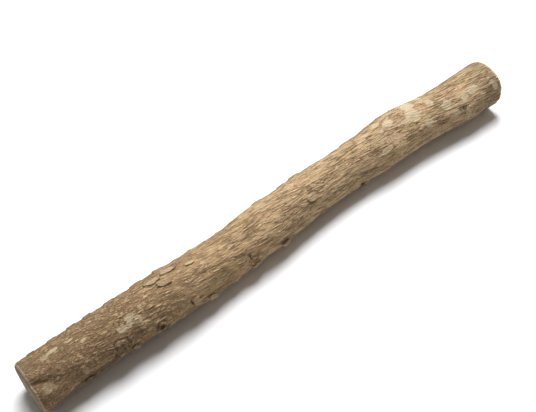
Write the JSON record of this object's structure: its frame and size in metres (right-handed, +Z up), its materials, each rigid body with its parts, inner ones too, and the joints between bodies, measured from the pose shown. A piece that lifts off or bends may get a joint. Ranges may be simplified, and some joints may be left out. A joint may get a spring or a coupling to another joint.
{
  "type": "miswak stick",
  "caption": "Length of root in its own bark, sawn at both ends, nearly straight with a slight bow, for chewing to a brush; it lies on its side.",
  "frame": {"origin": "centre of the bounding box, on the surface that the stick lies on", "axes": "+X along the stick, from its thick end to its thin end, +Z up; the bow goes to +Y"},
  "size_m": [0.1522, 0.0166, 0.0144],
  "materials": {
    "bark": "dry, matt tan bark with fine broken fissures and cream scars; pale matt wood on the two cut ends"
  },
  "bodies": {
    "root": {"miswak_stick": "bark"}
  },
  "joints": []
}
